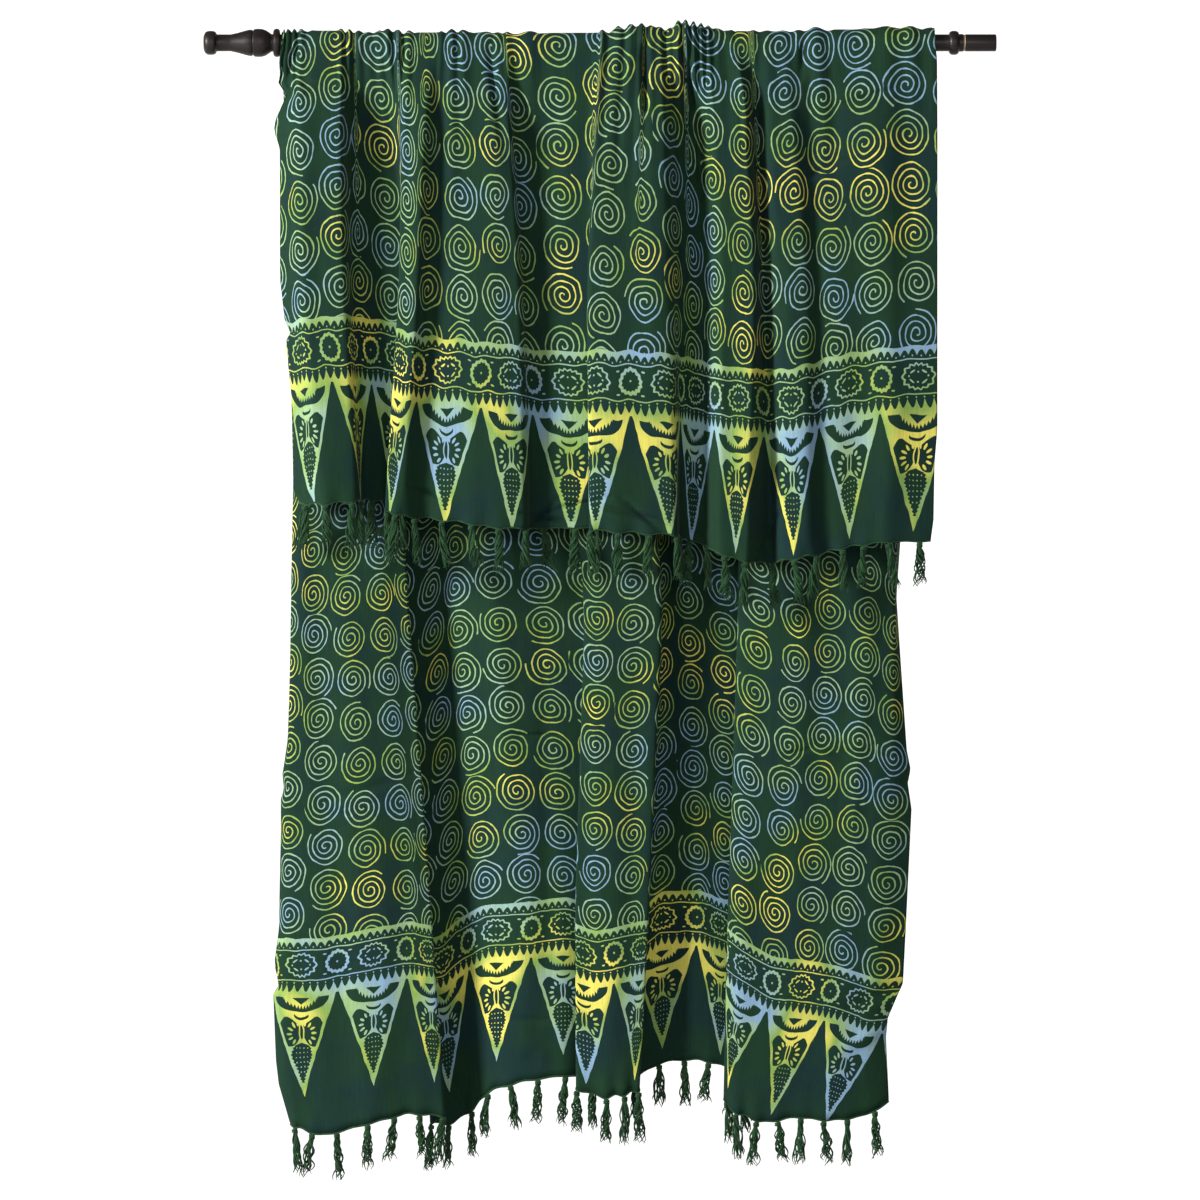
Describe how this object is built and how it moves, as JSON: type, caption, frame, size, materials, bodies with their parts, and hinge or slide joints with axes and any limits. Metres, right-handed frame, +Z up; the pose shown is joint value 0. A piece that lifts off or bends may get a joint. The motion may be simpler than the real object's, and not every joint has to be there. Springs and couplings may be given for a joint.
{
  "type": "sarong hung on a rod",
  "caption": "Fringed batik sarong folded over a turned wooden rod, with a short front fall, a long back fall and knotted tassels along both hems.",
  "frame": {"origin": "middle of the rod, on its axis, where the rod is held", "axes": "+X along the rod to the viewer's right, +Z up, and the front fall with the short side on -Y"},
  "size_m": [0.832, 0.1001, 1.2187],
  "materials": {
    "cloth": "batik dyed rayon, soft matte",
    "fringe": "twisted and knotted rayon yarn",
    "rod_wood": "dark stained, satin"
  },
  "bodies": {
    "root": {"rod": "rod_wood", "cloth_front": "cloth", "cloth_over_rod": "cloth", "cloth_back": "cloth", "fringe_front": "fringe", "fringe_back": "fringe"}
  },
  "joints": []
}
